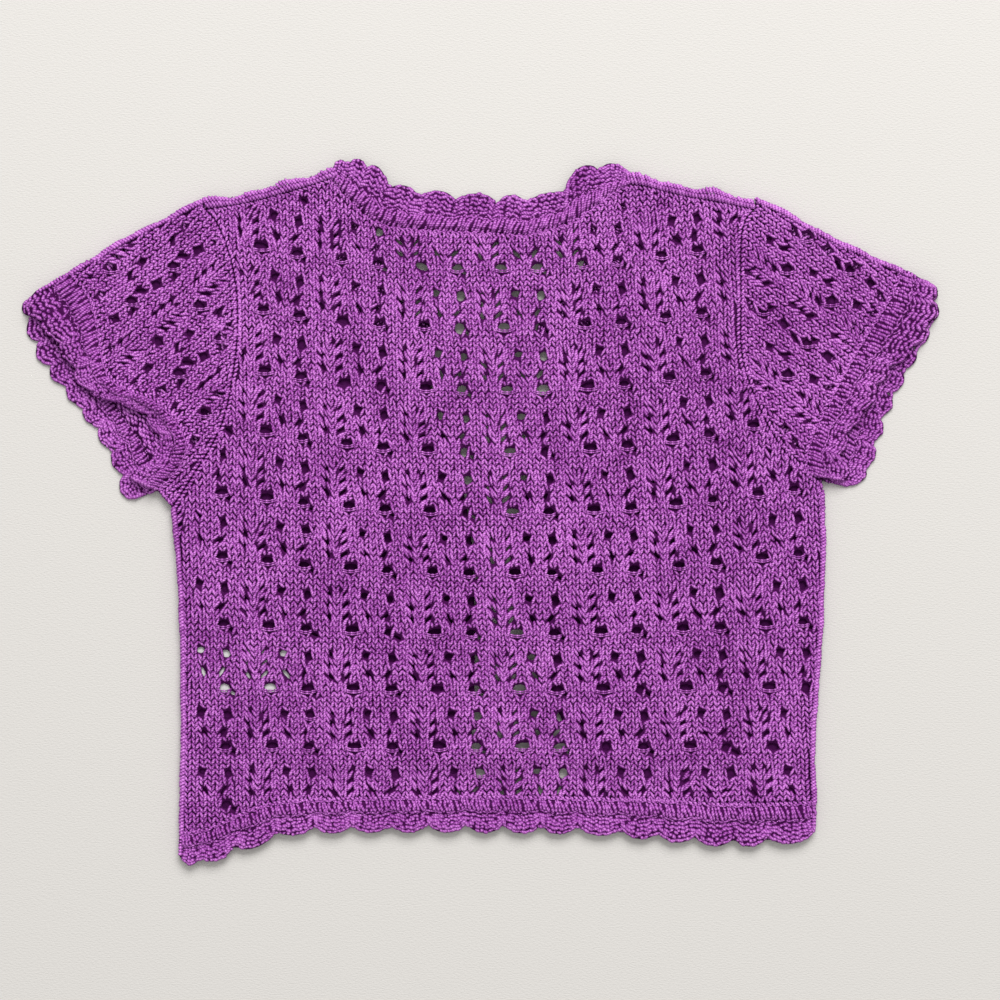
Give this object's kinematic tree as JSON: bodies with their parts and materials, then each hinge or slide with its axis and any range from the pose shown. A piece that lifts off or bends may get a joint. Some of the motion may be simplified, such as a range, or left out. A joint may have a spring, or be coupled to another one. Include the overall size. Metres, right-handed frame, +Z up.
{
  "type": "crochet-edged lace knit cardigan",
  "caption": "Short-sleeved cropped lace-knit cotton cardigan laid flat with its back upwards, with scalloped crochet edging at neck, hem and cuffs.",
  "frame": {"origin": "middle of the flat underside, on the surface the garment lies on", "axes": "+Z up, out of the garment's back; +X across it, towards its right sleeve; +Y towards its neck"},
  "size_m": [0.6428, 0.4938, 0.011],
  "materials": {
    "lace_knit": "mercerised two-ply cotton, knitted in lace",
    "crochet_edging": "the same cotton, crocheted",
    "label_tape": "white satin tape, blank"
  },
  "bodies": {
    "root": {"back": "lace_knit", "front_left": "lace_knit", "front_right": "lace_knit", "sleeve_left_back": "lace_knit", "sleeve_left_front": "lace_knit", "sleeve_right_back": "lace_knit", "sleeve_right_front": "lace_knit", "neck_edging_back": "crochet_edging", "neck_edging_front_left": "crochet_edging", "neck_edging_front_right": "crochet_edging", "hem_edging_back": "crochet_edging", "hem_edging_front_left": "crochet_edging", "hem_edging_front_right": "crochet_edging", "cuff_edging_left_back": "crochet_edging", "cuff_edging_left_front": "crochet_edging", "cuff_edging_right_back": "crochet_edging", "cuff_edging_right_front": "crochet_edging", "care_label": "label_tape"}
  },
  "joints": []
}
